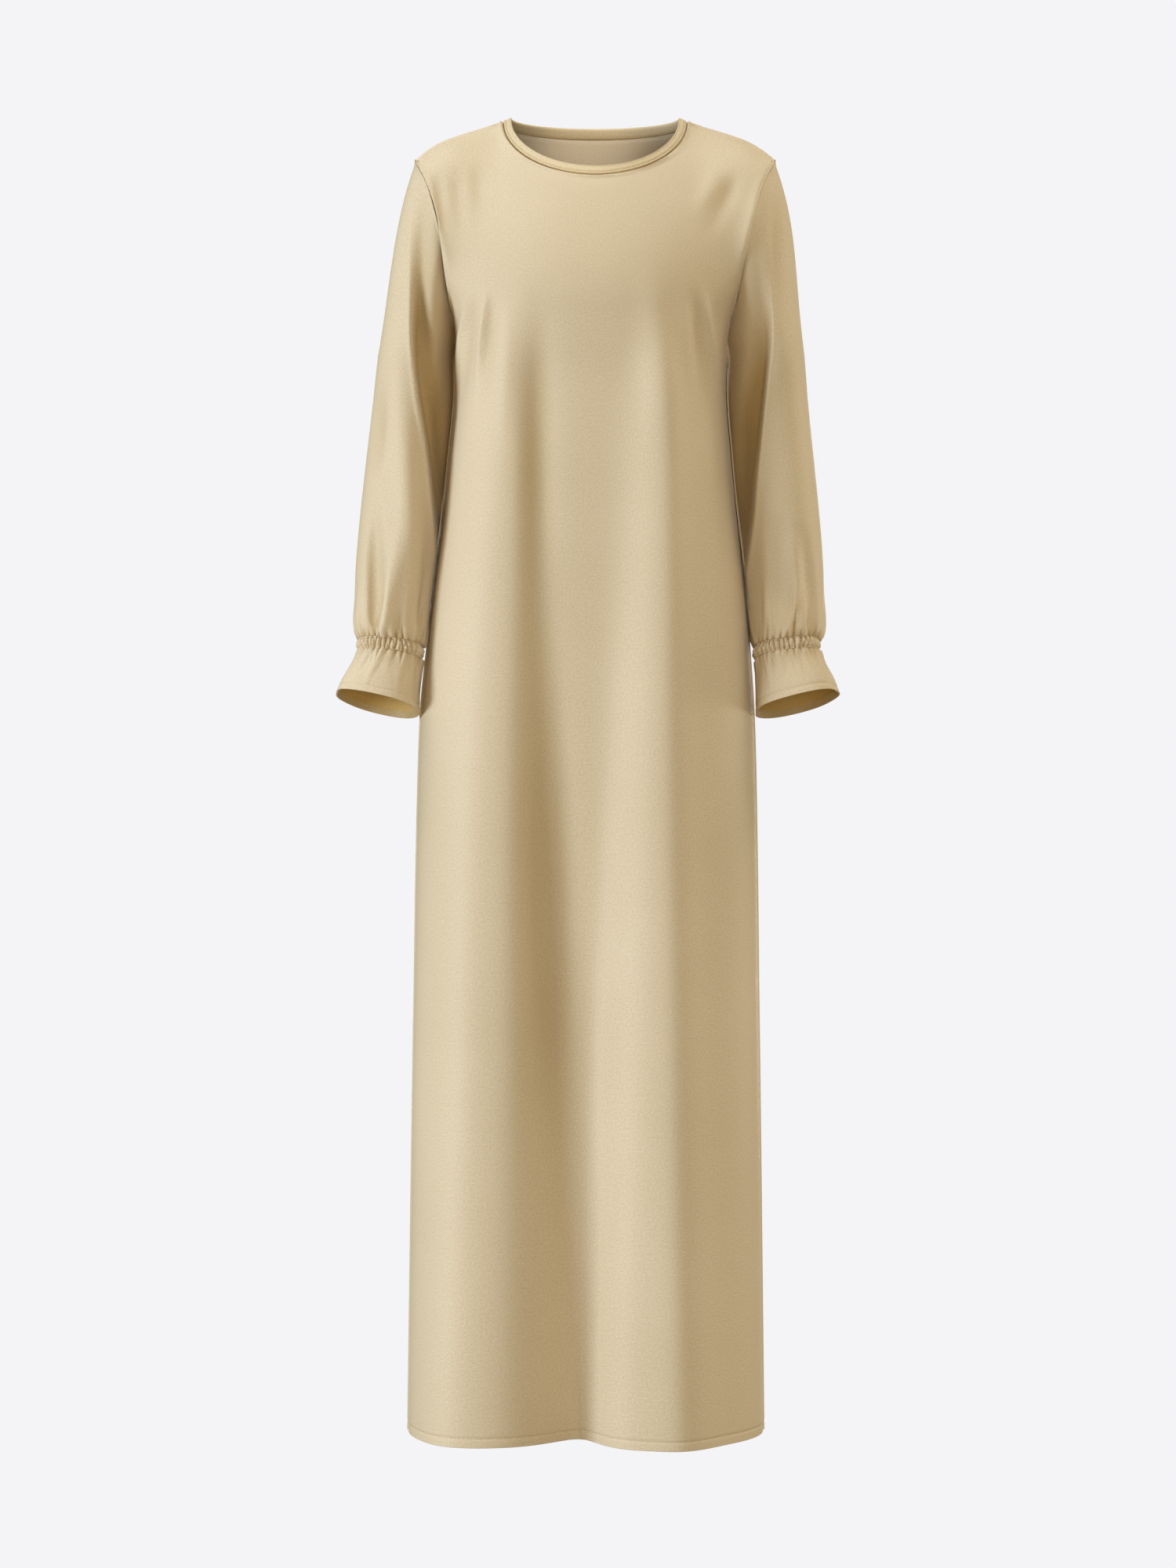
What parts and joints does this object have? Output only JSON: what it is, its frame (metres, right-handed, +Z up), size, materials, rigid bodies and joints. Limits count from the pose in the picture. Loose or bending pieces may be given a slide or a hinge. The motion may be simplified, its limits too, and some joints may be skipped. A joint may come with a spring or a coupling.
{
  "type": "abaya",
  "caption": "Plain full-length abaya in pale gold satin crepe, worn and hollow, with a round bound neck and long sleeves gathered at the wrist into frilled cuffs.",
  "frame": {"origin": "midway between the two neck points, where the garment hangs from the wearer's shoulders", "axes": "+Z up, -Y towards the front of the garment, +X towards the wearer's left"},
  "size_m": [0.5289, 0.2729, 1.3772],
  "materials": {
    "satin_crepe": "soft satin sheen over a fine crepe grain",
    "binding": "the same satin crepe cut on the bias, with one stitch line"
  },
  "bodies": {
    "root": {"front": "satin_crepe", "back": "satin_crepe", "sleeve_left": "satin_crepe", "sleeve_right": "satin_crepe", "wrist_casing_left": "satin_crepe", "wrist_casing_right": "satin_crepe", "cuff_frill_left": "satin_crepe", "cuff_frill_right": "satin_crepe", "neck_binding": "binding"}
  },
  "joints": []
}
